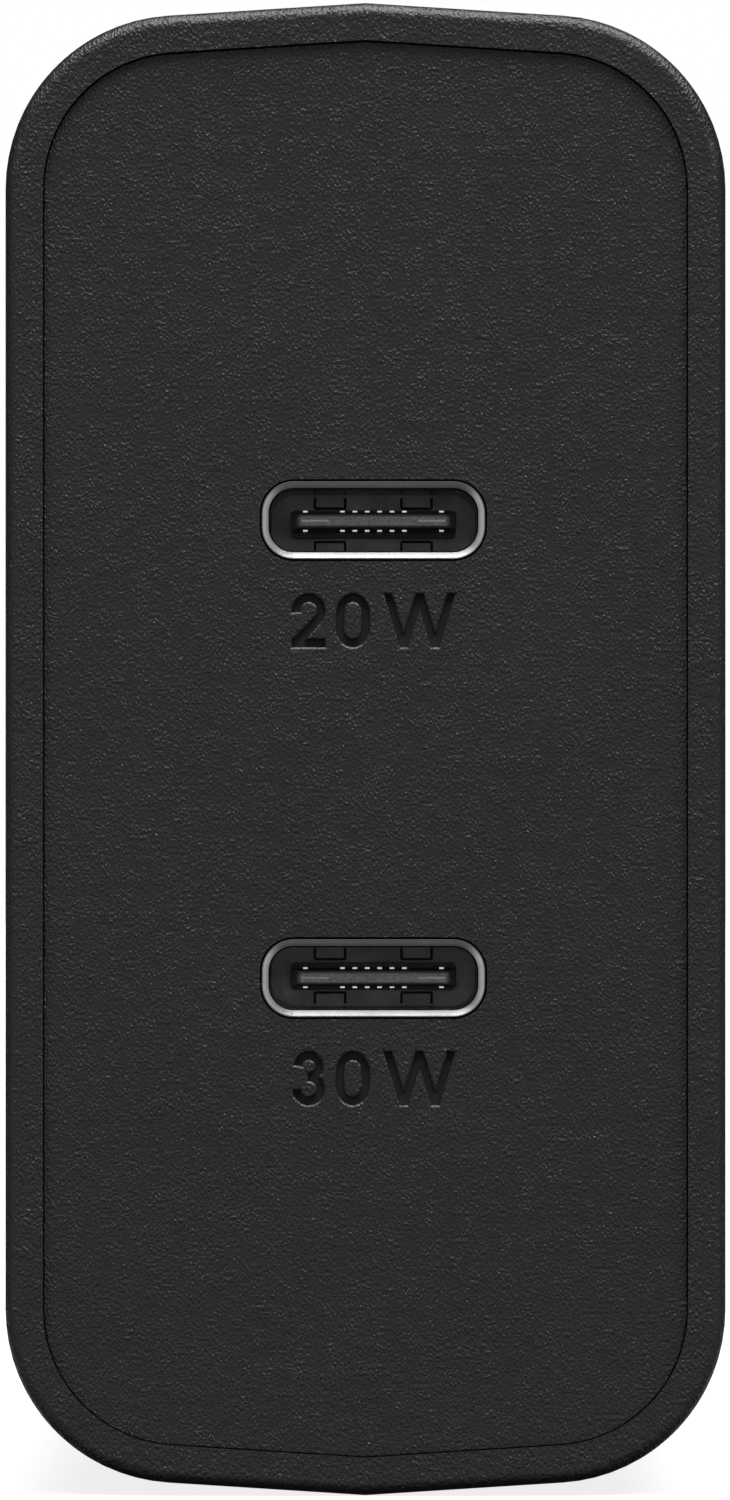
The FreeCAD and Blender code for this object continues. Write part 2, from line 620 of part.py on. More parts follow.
def pivot_retainer():
    """The bracket that holds the barrel in its bearings from inside."""
    low, high = BRACKET_Y, BEARING_Y
    bar = box(-10.8, 10.8, low, high, PIVOT_Z - BEARING_HALF_Z, PIVOT_Z + 9.2)
    foot = box(-3.5, 3.5, low, high, PIVOT_Z - 9.0, PIVOT_Z - BEARING_HALF_Z)
    bracket = bar.fuse(foot).removeSplitter()
    upright = [e for e in bracket.Edges if e.BoundBox.XLength < 1e-6 and e.BoundBox.ZLength < 1e-6]
    bracket = bracket.makeFillet(1.0, [e for e in upright if abs(e.BoundBox.XMin) > 3.6
                                       or e.BoundBox.ZMin < PIVOT_Z - 8])
    finger_top = PIVOT_Y - JOURNAL_R - JOURNAL_PLAY
    for side in (-1, 1):
        near, far = sorted((side * (BARREL_HALF + 0.5), side * (JOURNAL_END - 0.1)))
        bracket = bracket.fuse(box(near, far, high, finger_top, PIVOT_Z - 1.45, PIVOT_Z + 1.45))
    for z in (PIVOT_Z - 4.35, PIVOT_Z + 4.35):
        pad_half_z = 0.3
        bracket = bracket.fuse(box(-2.3, 2.3, high, LEAF_Y - LEAF_T, z - pad_half_z, z + pad_half_z))
    bracket = bracket.removeSplitter()
    bracket = bracket.cut(box(-2.8, 2.8, low, high, PIVOT_Z - 3.2, PIVOT_Z + 3.2))
    half_slot = BLADE_T / 2 + 0.3
    for x in slot_centres():
        bracket = bracket.cut(box(x - half_slot, x + half_slot, low, high,
                                  PIVOT_Z - 1.8, PIVOT_Z + TAIL_R + 0.4))
    for z in SCREW_Z:
        bracket = bracket.cut(rod(1.1, (0, low, z), Y_AXIS, 3))
    return bracket


def detent_spring():
    """The leaf that presses on the cam's flat, and so holds the blades open or folded."""
    leaf = box(-2.2, 2.2, LEAF_Y - LEAF_T, LEAF_Y, PIVOT_Z - LEAF_HALF_Z, PIVOT_Z + LEAF_HALF_Z)
    corners = [e for e in leaf.Edges if e.BoundBox.XLength < 1e-6 and e.BoundBox.ZLength < 1e-6]
    return leaf.makeFillet(0.6, corners)


def contact_spring(x):
    """The formed strip that a blade's tail wipes when it is open, with a tab for the lead."""
    inner = BRACKET_Y
    anchor_low, anchor_high = PIVOT_Z + 6.2, SPRING_TOP_Z
    face = SPRING_FACE_Y
    profile = [
        (inner, anchor_high), (inner, anchor_low), (face, anchor_low - 1.0), (face, PIVOT_Z - 1.2),
        (face - 0.9, PIVOT_Z - 2.2), (face - 0.9 - SPRING_T, PIVOT_Z - 2.0),
        (face - SPRING_T, PIVOT_Z - 1.05), (face - SPRING_T, anchor_low - 0.95),
        (inner - SPRING_T, anchor_low + 0.05), (inner - SPRING_T, anchor_high)]
    strip = extruded_x(profile, x - SPRING_HALF_W, x + SPRING_HALF_W)
    tab = box(x - 0.9, x + 0.9, inner - TAB_LENGTH, inner, anchor_high - SPRING_T, anchor_high)
    return strip.fuse(tab).removeSplitter()


def retainer_screws():
    """Two self-tapping screws with domed heads and a cross recess."""
    screws = []
    crown_y = BRACKET_Y - SCREW_HEAD_T
    for z in SCREW_Z:
        shank = rod(SCREW_CORE_R, (0, BRACKET_Y, z), Y_AXIS, BRACKET_T + SCREW_BITE)
        head = rod(SCREW_HEAD_R, (0, crown_y, z), Y_AXIS, SCREW_HEAD_T)
        head = head.makeFillet(0.7, [e for e in head.Edges if all_at(e, "y", crown_y)])
        recess = [block(0, crown_y, z, 1.9, 1.2, 0.4), block(0, crown_y, z, 0.4, 1.2, 1.9)]
        screws.append(head.fuse(shank).removeSplitter().cut(recess))
    return Part.makeCompound(screws)


# ---- USB-C receptacles -----------------------------------------------------------------------------
def inner_slot(z, shrink=0.0):
    """Outline of the hollow inside a port's shell."""
    wall = SHELL_WALL + shrink
    return rounded_slot(SHELL_W - 2 * wall, SHELL_H - 2 * wall, SHELL_CORNER_R - wall, PORT_X, z)


def usb_shell(z):
    """The drawn steel tube round a port, with a funnel of two slopes in its mouth and four board legs."""
    shell = slab(rounded_slot(SHELL_W, SHELL_H, SHELL_CORNER_R, PORT_X, z), PANEL_Y, USB_BOARD_Y)
    shell = shell.cut(slab(inner_slot(z), PANEL_Y, USB_BOARD_Y))
    width, depth = MOUTH_LAND, 0.0
    for next_width, next_depth in MOUTH_STEPS:
        outer = inner_slot(z, width - SHELL_WALL)
        inner = inner_slot(z, next_width - SHELL_WALL)
        shell = shell.cut(tapered(outer, PANEL_Y + depth, inner, PANEL_Y + next_depth))
        width, depth = next_width, next_depth
    legs = []
    for sx in (-1, 1):
        for sz in (-1, 1):
            middle = z + sz * (SHELL_H - SHELL_WALL) / 2
            legs.append(block(PORT_X + sx * LEG_X, USB_BOARD_Y + LEG_LENGTH / 2, middle,
                              LEG_W, LEG_LENGTH, SHELL_WALL))
    return shell.multiFuse(legs).removeSplitter()


def usb_base(z):
    """The moulded block that fills the back of the shell round the root of the tongue."""
    front = PANEL_Y + CAVITY_DEPTH + GROUND_T
    root = rounded_slot(STEP_W, STEP_T, STEP_CORNER_R, PORT_X, z)
    block_ = slab(inner_slot(z, 0.01), front, USB_BOARD_Y).cut(slab(root, front, USB_BOARD_Y))
    return block_.cut(tab_grooves(z))


def usb_tongue(z):
    """The moulded tongue: its bevelled nose, its blade, and the thicker root that runs back to the board."""
    tip_y = PANEL_Y + TONGUE_TIP
    bevel_y = tip_y + NOSE_BEVEL
    full_y = tip_y + NOSE_LENGTH
    step_y = PANEL_Y + STEP_DEPTH
    tip = oblong(NOSE_W - 2 * NOSE_BEVEL, NOSE_T - 2 * NOSE_BEVEL, PORT_X, z)
    nose = oblong(NOSE_W, NOSE_T, PORT_X, z)
    blade = oblong(TONGUE_W, TONGUE_T, PORT_X, z)
    root = slab(rounded_slot(STEP_W, STEP_T, STEP_CORNER_R, PORT_X, z), step_y, USB_BOARD_Y)
    whole = root.multiFuse([tapered(tip, tip_y, nose, bevel_y), tapered(nose, bevel_y, blade, full_y),
                            slab(blade, full_y, step_y)]).removeSplitter()
    return whole.cut([usb_contacts(z), usb_mid_plate(z)] + latch_notches(z))


def usb_contacts(z):
    """Sixteen gold contacts: eight strips on each face of the tongue, with tails through to the board."""
    contacts = []
    start = PANEL_Y + CONTACT_START
    end = PANEL_Y + STEP_DEPTH
    for dx in CONTACT_X:
        for side in (-1, 1):
            x = PORT_X + dx
            outer = z + side * (TONGUE_T / 2 + CONTACT_PROUD)
            strip = block(x, (start + end) / 2, outer - side * CONTACT_T / 2,
                          CONTACT_W, end - start, CONTACT_T)
            buried = z + side * (TONGUE_T - CONTACT_TAIL_T) / 2
            tail = block(x, (end + USB_BOARD_Y) / 2, buried, CONTACT_W, USB_BOARD_Y - end, CONTACT_TAIL_T)
            contacts.append(strip.fuse(tail).removeSplitter())
    return Part.makeCompound(contacts)


def usb_mid_plate(z):
    """The thin steel plate in the middle of the tongue, bare along its side edges and at its nose corners."""
    tip_y = PANEL_Y + TONGUE_TIP
    full_y = tip_y + NOSE_LENGTH
    low, high = z - MID_PLATE_T / 2, z + MID_PLATE_T / 2
    plate = box(PORT_X - TONGUE_W / 2, PORT_X + TONGUE_W / 2, full_y, PANEL_Y + STEP_DEPTH, low, high)
    plate = plate.fuse(box(PORT_X - NOSE_W / 2, PORT_X + NOSE_W / 2, full_y, USB_BOARD_Y - 0.6, low, high))
    for side in (-1, 1):
        near, far = sorted(PORT_X + side * (NOSE_W / 2 - inset) for inset in MID_PLATE_BARE)
        plate = plate.fuse(box(near, far, tip_y, full_y, low, high))
    return plate.removeSplitter().cut(latch_notches(z))


def latch_notches(z):
    """The two side notches in the tongue and its plate that a plug's latch springs fall into."""
    half = TONGUE_W / 2
    y = PANEL_Y + TONGUE_TIP + LATCH_BACK
    return [block(PORT_X + side * half, y, z, 0.5, 1.0, 1.0) for side in (-1, 1)]


def tab_span():
    """How far the ground plate's spring tabs reach from the port's middle height: inner and outer end."""
    return STEP_T / 2 + 0.12, SHELL_H / 2 - SHELL_WALL - 0.10


def tab_grooves(z):
    """The slots round the four spring tabs, cut through the ground plate and into the block behind it."""
    middle_y = PANEL_Y + CAVITY_DEPTH + GROOVE_DEPTH / 2
    low, high = tab_span()
    grooves = []
    for sx in (-1, 1):
        for sz in (-1, 1):
            x = PORT_X + sx * TAB_X
            for edge in (-1, 1):
                grooves.append(block(x + edge * TAB_HALF_W, middle_y, z + sz * (low + high) / 2,
                                     GROOVE_W, GROOVE_DEPTH, high - low))
            grooves.append(block(x, middle_y, z + sz * low, 2 * TAB_HALF_W, GROOVE_DEPTH, GROOVE_W))
    return grooves


def usb_ground_plate(z):
    """The stamped plate across the back of the cavity, with four spring tabs and their dimples."""
    front = PANEL_Y + CAVITY_DEPTH
    plate = slab(inner_slot(z, 0.01), front, front + GROUND_T)
    plate = plate.cut(slab(rounded_slot(STEP_W, STEP_T, STEP_CORNER_R, PORT_X, z), front, front + GROUND_T))
    plate = plate.cut(tab_grooves(z))
    dimple_z = tab_span()[1] - 0.22
    for sx in (-1, 1):
        for sz in (-1, 1):
            place = (PORT_X + sx * TAB_X, front, z + sz * dimple_z)
            plate = plate.cut(rod(DIMPLE_R, place, Y_AXIS, GROUND_T * 0.6))
    return plate


# ---- USB board -------------------------------------------------------------------------------------
def usb_board():
    """The upright board behind the front panel that carries both receptacles."""
    board = box(-USB_BOARD_HALF_X, USB_BOARD_HALF_X, USB_BOARD_Y, USB_BOARD_BACK,
                -USB_BOARD_HALF_Z, USB_BOARD_HALF_Z)
    corners = [e for e in board.Edges if e.BoundBox.YLength > 1 and e.BoundBox.XLength < 1e-6
               and e.BoundBox.ZLength < 1e-6]
    board = board.makeFillet(2.0, corners)
    holes = []
    for z in PORT_HEIGHTS.values():
        for sx in (-1, 1):
            for sz in (-1, 1):
                middle = z + sz * (SHELL_H - SHELL_WALL) / 2
                holes.append(block(PORT_X + sx * LEG_X, USB_BOARD_Y + USB_BOARD_T / 2, middle,
                                   1.2, USB_BOARD_T, SHELL_WALL + 0.2))
    for sx in (-1, 1):
        for sz in (-1, 1):
            holes.append(rod(POST_PIN_R + 0.05, (sx * POST_X, USB_BOARD_Y, sz * POST_Z), Y_AXIS, USB_BOARD_T))
    for z in LINK_Z:
        holes.append(block(LINK_X, USB_BOARD_Y + USB_BOARD_T / 2, z,
                           2 * LINK_HALF + 0.1, USB_BOARD_T, 2 * LINK_HALF + 0.1))
    return board.cut(holes)


def board_link_pins():
    """Six square pins that join the main board's edge to the USB board, in a moulded strip."""
    pins = [box(LINK_X - LINK_HALF, LINK_X + LINK_HALF, USB_BOARD_Y - 0.6, MAIN_FRONT + 4.5,
                z - LINK_HALF, z + LINK_HALF) for z in LINK_Z]
    return Part.makeCompound(pins)


def link_strip():
    """The moulded strip that holds the link pins at their pitch."""
    strip = box(TOP + 0.01, TOP + 2.4, MAIN_FRONT + 0.2, MAIN_FRONT + 2.2, LINK_Z[0] - 1.2, LINK_Z[-1] + 1.2)
    for z in LINK_Z:
        strip = strip.cut(box(LINK_X - LINK_HALF - 0.01, LINK_X + LINK_HALF + 0.01,
                              MAIN_FRONT, MAIN_FRONT + 3, z - LINK_HALF - 0.01, z + LINK_HALF + 0.01))
    return strip


def chip(cx, cy, cz, dx, dy, dz, thick_axis):
    """A chip package with softened top edges; thick_axis is the side that is soldered, as '+x' or '-y'."""
    body = block(cx, cy, cz, dx, dy, dz)
    return body.makeChamfer(0.12, [e for e in body.Edges if away_from(e, body, thick_axis)])


def away_from(edge, body, face):
    """Whether an edge bounds the face opposite the one named."""
    limits = body.BoundBox
    opposite = {"+x": ("x", limits.XMin), "-x": ("x", limits.XMax),
                "+y": ("y", limits.YMin), "-y": ("y", limits.YMax)}[face]
    return all_at(edge, *opposite)


def port_controllers():
    """One control chip for each port, on the back of the USB board."""
    y = USB_BOARD_BACK + 0.45
    return Part.makeCompound([chip(5.2, y, z, 4.0, 0.9, 4.0, "-y") for z in (3.2, -3.2)])


def buck_inductors():
    """One moulded inductor for each port, on the back of the USB board."""
    height = 2.8
    y = USB_BOARD_BACK + height / 2
    parts = []
    for z in (PORT_Z + 5.0, -PORT_Z - 5.0):
        body = block(3.8, y, z, 6.6, height, 6.6)
        parts.append(rounded_edges(body, 0.5, lambda e: away_from(e, body, "-y") or e.BoundBox.YLength > 1))
    return Part.makeCompound(parts)


def chip_capacitors():
    """Small ceramic capacitors in rows on the back of the USB board."""
    y = USB_BOARD_BACK + 0.5
    parts = []
    for z in (17.0, 15.4, 13.8, -13.8, -15.4, -17.0):
        for x in (-3.6, -1.0):
            parts.append(block(x, y, z, 2.0, 1.0, 1.2))
    return Part.makeCompound(parts)


# ---- Main board ------------------------------------------------------------------------------------
def main_board():
    """The power board, upright along one side wall, with components on its +X face."""
    board = box(MAIN_X, TOP, MAIN_FRONT, MAIN_REAR, -MAIN_HALF_Z, MAIN_HALF_Z)
    corners = [e for e in board.Edges if e.BoundBox.XLength > 1 and e.BoundBox.YLength < 1e-6]
    board = board.makeFillet(1.0, corners)
    barrier = box(MAIN_X, TOP, *BARRIER)
    leads = [rod(WIRE_CORE_R + 0.05, (MAIN_X, LEAD_PAD_Y, z), X_AXIS, MAIN_T) for z in (LEAD_Z, LINE_PAD_Z)]
    return board.cut([barrier] + leads)


def transformer_core():
    """Two ferrite halves that meet in the middle, each with a back plate, two side legs and a round leg."""
    halves = []
    for side in (-1, 1):
        end = CORE_MID_X + side * CORE_HALF_X
        inner = CORE_MID_X + side * (CORE_HALF_X - CORE_PLATE_T)
        near, far = sorted((end, inner))
        plate = box(near, far, TRANSFORMER_Y - LEG_OUTER, TRANSFORMER_Y + LEG_OUTER,
                    TRANSFORMER_Z - CORE_HALF_Z, TRANSFORMER_Z + CORE_HALF_Z)
        low, high = sorted((end, CORE_MID_X))
        legs = []
        for sy in (-1, 1):
            y0, y1 = sorted((TRANSFORMER_Y + sy * LEG_INNER, TRANSFORMER_Y + sy * LEG_OUTER))
            legs.append(box(low, high, y0, y1, TRANSFORMER_Z - CORE_HALF_Z, TRANSFORMER_Z + CORE_HALF_Z))
        centre = rod(CENTRE_LEG_R, (low, TRANSFORMER_Y, TRANSFORMER_Z), X_AXIS, CORE_HALF_X)
        half = plate.multiFuse(legs + [centre]).removeSplitter()
        outer = [e for e in half.Edges
                 if e.BoundBox.XLength > CORE_HALF_X - 0.5 and e.BoundBox.YLength < 1e-6
                 and abs(abs(e.BoundBox.YMin - TRANSFORMER_Y) - LEG_OUTER) < 0.01]
        halves.append(half.makeFillet(0.6, outer))
    return Part.makeCompound(halves)


def transformer_bobbin():
    """The moulded former inside the core, with a flange each end and a pin rail on the board side."""
    low, high = CORE_MID_X - WINDOW_HALF, CORE_MID_X + WINDOW_HALF
    centre = (low, TRANSFORMER_Y, TRANSFORMER_Z)
    bobbin = rod(BOBBIN_OUTER_R, centre, X_AXIS, high - low)
    for start in (low, high - FLANGE_T):
        bobbin = bobbin.fuse(rod(TAPE_R + 0.1, (start, TRANSFORMER_Y, TRANSFORMER_Z), X_AXIS, FLANGE_T))
    for side in (-1, 1):
        z0, z1 = sorted((TRANSFORMER_Z + side * (CORE_HALF_Z + 0.15), TRANSFORMER_Z + side * 9.6))
        bobbin = bobbin.fuse(box(RAIL_X, low + FLANGE_T, TRANSFORMER_Y - 7.5, TRANSFORMER_Y + 7.5, z0, z1))
    bobbin = bobbin.removeSplitter()
    bobbin = bobbin.cut(rod(BOBBIN_INNER_R, centre, X_AXIS, high - low))
    return bobbin.cut([transformer_pins()])


def transformer_pins():
    """Ten tinned pins, five on each rail, through the main board."""
    pins = []
    for side in (-1, 1):
        z = TRANSFORMER_Z + side * 8.5
        for n in range(5):
            y = TRANSFORMER_Y + (n - 2) * PIN_PITCH
            pins.append(rod(PIN_R, (TOP, y, z), X_AXIS, 3.0))
    return Part.makeCompound(pins)


def transformer_winding():
    """The copper winding between the bobbin's flanges."""
    low = CORE_MID_X - WINDOW_HALF + FLANGE_T
    length = 2 * (WINDOW_HALF - FLANGE_T)
    return tube(WINDING_R, BOBBIN_OUTER_R, (low, TRANSFORMER_Y, TRANSFORMER_Z), X_AXIS, length)


def transformer_tape():
    """The wrap of tape over the winding."""
    low = CORE_MID_X - WINDOW_HALF + FLANGE_T
    length = 2 * (WINDOW_HALF - FLANGE_T)
    return tube(TAPE_R, WINDING_R, (low, TRANSFORMER_Y, TRANSFORMER_Z), X_AXIS, length)


def can_capacitor(y, z, radius, height):
    """An upright electrolytic can with a crimp groove, a rounded shoulder, and two leads' standoff foot."""
    base = TOP + 0.3
    can = rod(radius, (base, y, z), X_AXIS, height)
    can = can.makeFillet(0.5, [e for e in can.Edges if e.BoundBox.XLength < 1e-6])
    groove = Part.makeTorus(radius + 0.25, 0.6, V(base + 2.0, y, z), X_AXIS)
    can = can.cut(groove)
    leads = [rod(LEAD_WIRE_R, (TOP, y, z + side * radius * 0.5), X_AXIS, 0.4) for side in (-1, 1)]
    return can.multiFuse(leads).removeSplitter()


def bulk_capacitors():
    """Two mains smoothing capacitors."""
    return Part.makeCompound([can_capacitor(y, z, BULK_R, BULK_HEIGHT) for y, z in BULK_PLACES])


def output_capacitors():
    """Three polymer capacitors on the low-voltage side."""
    return Part.makeCompound([can_capacitor(y, z, OUTPUT_R, OUTPUT_HEIGHT) for y, z in OUTPUT_PLACES])


def bridge_rectifier():
    """The four-legged in-line rectifier with its chamfered corner."""
    foot = 1.6
    y0, _, z0, z1 = RECTIFIER
    body = box(TOP + foot, TOP + RECTIFIER_HEIGHT, *RECTIFIER)
    corner = [e for e in body.Edges if all_at(e, "x", TOP + RECTIFIER_HEIGHT) and all_at(e, "y", y0)]
    body = body.makeChamfer(1.6, corner)
    leads = [block(TOP + foot / 2, y0 + 1.4 + n * RECTIFIER_LEG_PITCH, (z0 + z1) / 2, foot, 0.8, 0.5)
             for n in range(4)]
    return body.multiFuse(leads).removeSplitter()


def safety_capacitor():
    """The boxed film capacitor across the mains."""
    body = box(TOP + 0.3, TOP + FILM_BOX_HEIGHT, *FILM_BOX)
    body = body.makeFillet(0.6, [e for e in body.Edges if e.BoundBox.XLength > 5])
    leads = [rod(LEAD_WIRE_R, (TOP, y, 21.5), X_AXIS, 0.5) for y in (-24.5, -15.1)]
    return body.multiFuse(leads).removeSplitter()


def choke_core():
    """The ring of the common-mode choke, standing on edge."""
    ring = tube(CHOKE_R, CHOKE_HOLE_R, (CHOKE_X, CHOKE_Y - CHOKE_HALF_T, CHOKE_Z), Y_AXIS, 2 * CHOKE_HALF_T)
    return ring.makeFillet(0.4, [e for e in ring.Edges if e.BoundBox.YLength < 1e-6])


def choke_turn(degrees):
    """One turn of wire round the ring's section, at an angle about the ring's axis."""
    wire_half = CHOKE_WIRE / 2 + 0.02
    inner = CHOKE_HOLE_R - wire_half
    outer = CHOKE_R + wire_half
    half = CHOKE_HALF_T + wire_half
    middle = (inner + outer) / 2
    loop = rounded_slot(outer - inner, 2 * half, 0.5)
    path = loop.copy()
    path.rotate(V(0, 0, 0), X_AXIS, 90)
    path.translate(V(middle, 0, 0))
    start = path.Edges[0].valueAt(path.Edges[0].FirstParameter)
    tangent = path.Edges[0].tangentAt(path.Edges[0].FirstParameter)
    section = Part.Wire(Part.makeCircle(CHOKE_WIRE / 2, start, tangent))
    turn = path.makePipeShell([section], True, False)
    turn.rotate(V(0, 0, 0), Y_AXIS, degrees)
    turn.translate(V(CHOKE_X, CHOKE_Y, CHOKE_Z))
    return turn


def choke_windings():
    """Two windings of separate turns, one on each side of the ring."""
    turns = []
    for side in (90, 270):
        for n in range(CHOKE_TURNS):
            turns.append(choke_turn(side + (n - (CHOKE_TURNS - 1) / 2) * CHOKE_TURN_ANGLE))
    return Part.makeCompound(turns)


def choke_base():
    """The moulded saddle that the choke's ring stands in."""
    foot = box(TOP, CHOKE_X - CHOKE_R, CHOKE_Y - 3.0, CHOKE_Y + 3.0, CHOKE_Z - 4.4, CHOKE_Z + 4.4)
    return foot.makeFillet(0.8, [e for e in foot.Edges if e.BoundBox.XLength > 1])


def fuse_link():
    """The cylindrical mains fuse with its two end caps."""
    x = TOP + FUSE_HEIGHT
    z0, z1 = FUSE_Z
    body = rod(FUSE_R, (x, FUSE_Y, z0), Z_AXIS, z1 - z0)
    caps = [rod(FUSE_CAP_R, (x, FUSE_Y, start), Z_AXIS, FUSE_CAP_LENGTH) for start in (z0 - 0.2, z1 - 2.0)]
    feet = [box(TOP, x, FUSE_Y - 0.3, FUSE_Y + 0.3, z - 0.3, z + 0.3) for z in (z0 + 0.6, z1 - 0.6)]
    return body.multiFuse(caps + feet).removeSplitter()


def disc_part(y, z, radius, half_t, height):
    """A dipped disc on two leads, standing upright across the board."""
    x = TOP + height
    disc = rod(radius, (x, y - half_t, z), Y_AXIS, 2 * half_t)
    disc = disc.makeFillet(half_t * 0.8, [e for e in disc.Edges if e.BoundBox.YLength < 1e-6])
    leads = [rod(LEAD_WIRE_R, (TOP, y, z + side * radius * 0.5), X_AXIS, height) for side in (-1, 1)]
    return disc.multiFuse(leads).removeSplitter()


def isolation_capacitor():
    """The disc capacitor that bridges the isolation gap."""
    return disc_part(-13.6, -19.2, 3.8, 1.5, 5.2)


def inrush_thermistor():
    """The disc that limits the surge when the charger is plugged in."""
    return disc_part(-13.9, -10.6, 3.2, 1.4, 4.8)


def solder_side_chip(y, z, dy, dz, thick):
    return chip(MAIN_X - thick / 2, y, z, thick, dy, dz, "+x")


def primary_switch():
    return solder_side_chip(-16.5, 4.0, 6.0, 8.0, 0.85)


def primary_controller():
    return solder_side_chip(-24.0, 4.0, 3.9, 4.9, 1.0)


def sync_rectifier():
    return solder_side_chip(-33.0, -19.0, 5.0, 6.0, 0.9)


def signal_coupler():
    """The optocoupler that carries feedback across the isolation slot."""
    return solder_side_chip(-39.4, -14.0, 3.6, 6.5, 1.0)


def heat_spreader():
    """The thin aluminium plate against the far side wall, bent over at its front edge."""
    outer = SPREADER_X + SPREADER_T
    plate = box(SPREADER_X, outer, SPREADER_FRONT, MAIN_REAR, -SPREADER_HALF_Z, SPREADER_HALF_Z)
    lip = box(SPREADER_X - 1.7, SPREADER_X, SPREADER_FRONT, SPREADER_FRONT + SPREADER_T, -SPREADER_HALF_Z, 7.0)
    return plate.fuse(lip).removeSplitter()


def thermal_pad():
    """The soft pad between the transformer and the heat spreader."""
    low = CORE_MID_X + CORE_HALF_X
    return block((low + SPREADER_X) / 2, TRANSFORMER_Y, TRANSFORMER_Z, SPREADER_X - low, 16.0, 11.0)


def insulation_sheet():
    """The plastic sheet between the solder joints and the casing."""
    sheet = box(SHEET_X, SHEET_X + SHEET_T, MAIN_FRONT - 1.0, MAIN_REAR + 2.5, -SHEET_HALF_Z, SHEET_HALF_Z)
    return sheet.makeFillet(2.0, [e for e in sheet.Edges if e.BoundBox.XLength > 0.1])


# ---- Mains leads -----------------------------------------------------------------------------------
def lead_path(points):
    """Straight runs joined by tangent arcs through a list of corner points."""
    edges = []
    start = points[0]
    for before, corner, after in zip(points, points[1:], points[2:]):
        into = (corner - before).normalize()
        out = (after - corner).normalize()
        turn = into.getAngle(out)
        reach = WIRE_BEND_R * math.tan(turn / 2)
        begin = corner - into * reach
        end = corner + out * reach
        inward = (out - into).normalize()
        middle = corner + inward * (WIRE_BEND_R / math.cos(turn / 2) - WIRE_BEND_R)
        edges.append(Part.makeLine(start, begin))
        edges.append(Part.Arc(begin, middle, end).toShape())
        start = end
    edges.append(Part.makeLine(start, points[-1]))
    return Part.Wire(edges)


def mains_lead(points):
    """An insulated lead along a path, with a bare core that goes through the main board."""
    path = lead_path(points)
    start, direction = points[0], (points[1] - points[0]).normalize()
    section = Part.Wire(Part.makeCircle(WIRE_R, start, direction))
    lead = path.makePipeShell([section], True, False)
    core = rod(WIRE_CORE_R, (MAIN_X - 0.4, LEAD_PAD_Y, points[-1].z), X_AXIS, MAIN_T + 0.5)
    return lead.fuse(core).removeSplitter()


def neutral_lead():
    """From the spring nearer the main board, straight across to its pad."""
    start = V(-BLADE_PITCH / 2, LEAD_START_Y, LEAD_Z)
    return mains_lead([start, V(start.x, LEAD_PAD_Y, LEAD_Z), V(TOP, LEAD_PAD_Y, LEAD_Z)])


def line_lead():
    """From the far spring, down behind the bracket and across to the pad beside the fuse."""
    start = V(BLADE_PITCH / 2, LEAD_START_Y, LEAD_Z)
    return mains_lead([start, V(start.x, LEAD_PAD_Y, LEAD_Z), V(start.x, LEAD_PAD_Y, LINE_PAD_Z),
                       V(TOP, LEAD_PAD_Y, LINE_PAD_Z)])


# ---- Output ----------------------------------------------------------------------------------------
def write(name, shape):
    """Writes one STEP file, and says so if its shape isn't sound."""
    if not shape.isValid() or shape.Volume <= 0 or any(not s.isClosed() for s in shape.Solids):
        print("NOT SOUND:", name, shape.isValid(), shape.Volume)
    shape.exportStep(os.path.join("parts", name + ".step"))


def main():
    os.makedirs("parts", exist_ok=True)
    pieces = {
        "housing_sleeve": housing_sleeve(),
        "front_panel": front_panel(),
        "rear_cover": rear_cover(),
        "prong_barrel": prong_barrel(),
        "blade_neutral": blade_profile(-BLADE_PITCH / 2),
        "blade_line": blade_profile(BLADE_PITCH / 2),
        "pivot_retainer": pivot_retainer(),
        "retainer_screws": retainer_screws(),
        "detent_spring": detent_spring(),
        "contact_spring_neutral": contact_spring(-BLADE_PITCH / 2),
        "contact_spring_line": contact_spring(BLADE_PITCH / 2),
        "usb_board": usb_board(),
        "board_link_pins": board_link_pins(),
        "board_link_strip": link_strip(),
        "port_controllers": port_controllers(),
        "buck_inductors": buck_inductors(),
        "chip_capacitors": chip_capacitors(),
        "main_board": main_board(),
        "transformer_core": transformer_core(),
        "transformer_bobbin": transformer_bobbin(),
        "transformer_pins": transformer_pins(),
        "transformer_winding": transformer_winding(),
        "transformer_tape": transformer_tape(),
        "bulk_capacitors": bulk_capacitors(),
        "output_capacitors": output_capacitors(),
        "bridge_rectifier": bridge_rectifier(),
        "safety_capacitor": safety_capacitor(),
        "choke_core": choke_core(),
        "choke_windings": choke_windings(),
        "choke_base": choke_base(),
        "fuse_link": fuse_link(),
        "isolation_capacitor": isolation_capacitor(),
        "inrush_thermistor": inrush_thermistor(),
        "primary_switch": primary_switch(),
        "primary_controller": primary_controller(),
        "sync_rectifier": sync_rectifier(),
        "signal_coupler": signal_coupler(),
        "heat_spreader": heat_spreader(),
        "thermal_pad": thermal_pad(),
        "insulation_sheet": insulation_sheet(),
        "neutral_lead": neutral_lead(),
        "line_lead": line_lead(),
    }
    for place, z in PORT_HEIGHTS.items():
        pieces["usb_shell_" + place] = usb_shell(z)
        pieces["usb_base_" + place] = usb_base(z)
        pieces["usb_tongue_" + place] = usb_tongue(z)
        pieces["usb_contacts_" + place] = usb_contacts(z)
        pieces["usb_mid_plate_" + place] = usb_mid_plate(z)
        pieces["usb_ground_plate_" + place] = usb_ground_plate(z)
    for name, shape in pieces.items():
        write(name, shape)


main()
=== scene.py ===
import json
import math

